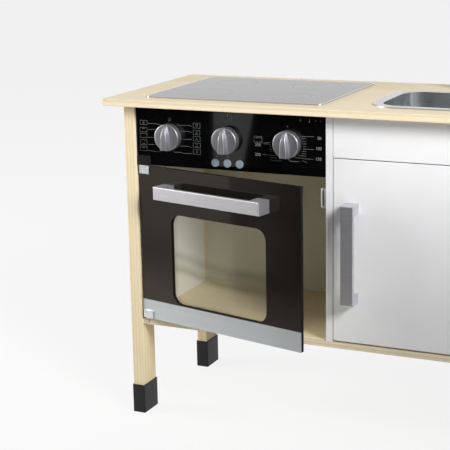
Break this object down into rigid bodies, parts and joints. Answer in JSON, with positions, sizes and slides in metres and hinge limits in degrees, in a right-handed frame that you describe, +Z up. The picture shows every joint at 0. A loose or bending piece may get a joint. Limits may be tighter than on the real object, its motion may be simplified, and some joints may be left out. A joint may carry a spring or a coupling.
{
  "type": "play kitchen",
  "caption": "Wooden play kitchen with an oven whose door stands ajar, turning knobs, push buttons, a hob plate, a sink with a swivel tap and a cupboard.",
  "frame": {"origin": "on the floor, under the middle of the object's box, with the oven door ajar as in the picture", "axes": "+X to the right along the front as seen by the child, +Y from the front to the back, +Z up"},
  "size_m": [0.7, 0.3576, 0.6458],
  "materials": {
    "pine_wood": "clear matt lacquer on pale pine",
    "white_lacquer": "smooth white lacquer on board, half gloss",
    "black_boot_plastic": "black moulded foot sleeve",
    "black_gloss_panel": "polished black",
    "silver_knob_plastic": "silver grey, satin",
    "white_inner_plastic": "natural white moulding",
    "spring_steel": "thin spring strip",
    "pale_blue_button_plastic": "pale blue grey",
    "brown_black_door_glass": "glass-smooth, brown black",
    "brushed_strip_metal": "fine lengthwise brushing",
    "clear_pane": "clear acrylic sheet",
    "bright_clip_metal": "bright plated",
    "plated_small_metal": "zinc plated",
    "silver_handle_finish": "silver, satin",
    "magnet_grey": "sintered grey",
    "hob_rim_metal": "bright edged rim",
    "hob_glass_dark": "polished dark plate",
    "sink_steel": "satin pressed basin",
    "tap_chrome": "bright",
    "white_print": "screen print on the control panel and the hob"
  },
  "bodies": {
    "kitchen": {"back_panel": "white_lacquer", "base_board": "pine_wood", "bracket_nuts": "plated_small_metal", "button_switch_plate": "white_inner_plastic", "catch_cases": "white_inner_plastic", "catch_magnets": "magnet_grey", "control_panel": "black_gloss_panel", "detent_springs": "spring_steel", "divider": "white_lacquer", "frame_dowels": "pine_wood", "front_battens": "pine_wood", "hinge_pins": "plated_small_metal", "hinge_post_leaves": "bright_clip_metal", "hob_frame": "hob_rim_metal", "hob_glass": "hob_glass_dark", "leg_boots": "black_boot_plastic", "oven_hinge_bracket": "bright_clip_metal", "oven_pivot_pins": "plated_small_metal", "oven_pivot_washer": "white_inner_plastic", "post_front_left": "pine_wood", "post_front_right": "pine_wood", "post_rear_left": "pine_wood", "post_rear_right": "pine_wood", "rear_rail": "pine_wood", "side_board_left": "white_lacquer", "side_board_right": "white_lacquer", "sink_apron": "white_lacquer", "sink_bowl": "sink_steel", "sink_strainer": "sink_steel", "tap_base": "tap_chrome", "tap_nut": "tap_chrome", "worktop": "pine_wood", "worktop_cleats": "pine_wood"},
    "oven_door": {"oven_door_panel": "brown_black_door_glass", "oven_door_strip": "brushed_strip_metal", "oven_door_pane": "clear_pane", "oven_door_clip_upper": "bright_clip_metal", "oven_door_clip_lower": "bright_clip_metal", "oven_handle": "silver_handle_finish", "oven_handle_screws": "plated_small_metal", "oven_strike_plate": "plated_small_metal"},
    "cupboard_door": {"cupboard_door_panel": "white_lacquer", "cupboard_handle": "silver_handle_finish", "cupboard_handle_screws": "plated_small_metal", "cupboard_strike_plate": "plated_small_metal", "hinge_door_leaves": "bright_clip_metal"},
    "tap_spout": {"tap_spout": "tap_chrome"},
    "tap_lever": {"tap_lever": "tap_chrome"},
    "knob_left": {"knob_left": "silver_knob_plastic", "knob_spindle_left": "white_inner_plastic"},
    "push_button_left": {"push_button_left": "pale_blue_button_plastic"},
    "knob_middle": {"knob_middle": "silver_knob_plastic", "knob_spindle_middle": "white_inner_plastic"},
    "push_button_middle": {"push_button_middle": "pale_blue_button_plastic"},
    "knob_right": {"knob_right": "silver_knob_plastic", "knob_spindle_right": "white_inner_plastic"},
    "push_button_right": {"push_button_right": "pale_blue_button_plastic"}
  },
  "joints": [
    {"name": "oven_door_swing", "type": "hinge", "parent": "kitchen", "child": "oven_door", "pos_m": [-0.29445, -0.09798, 0.2752], "axis": [0, 0, -1], "range_deg": [-13.33, 91.67]},
    {"name": "cupboard_door_swing", "type": "hinge", "parent": "kitchen", "child": "cupboard_door", "pos_m": [0.304, -0.10578, 0.2894], "axis": [0, 0, 1], "range_deg": [0, 100]},
    {"name": "knob_left_turn", "type": "hinge", "parent": "kitchen", "child": "knob_left", "pos_m": [-0.24925, -0.09918, 0.4395], "axis": [0, -1, 0], "continuous": true},
    {"name": "knob_middle_turn", "type": "hinge", "parent": "kitchen", "child": "knob_middle", "pos_m": [-0.15665, -0.09918, 0.4395], "axis": [0, -1, 0], "continuous": true},
    {"name": "knob_right_turn", "type": "hinge", "parent": "kitchen", "child": "knob_right", "pos_m": [-0.06125, -0.09918, 0.4395], "axis": [0, -1, 0], "continuous": true},
    {"name": "push_button_left_press", "type": "slide", "parent": "kitchen", "child": "push_button_left", "axis": [0, 1, 0], "range_m": [0, 0.0015], "stiffness_N_per_m": 300},
    {"name": "push_button_middle_press", "type": "slide", "parent": "kitchen", "child": "push_button_middle", "axis": [0, 1, 0], "range_m": [0, 0.0015], "stiffness_N_per_m": 300},
    {"name": "push_button_right_press", "type": "slide", "parent": "kitchen", "child": "push_button_right", "axis": [0, 1, 0], "range_m": [0, 0.0015], "stiffness_N_per_m": 300},
    {"name": "tap_spout_swivel", "type": "hinge", "parent": "kitchen", "child": "tap_spout", "pos_m": [0.15525, 0.11482, 0.528], "axis": [0, 0, 1], "range_deg": [-75, 75]},
    {"name": "tap_lever_tilt", "type": "hinge", "parent": "kitchen", "child": "tap_lever", "pos_m": [0.17225, 0.11482, 0.514], "axis": [1, 0, 0], "range_deg": [0, 60]}
  ]
}
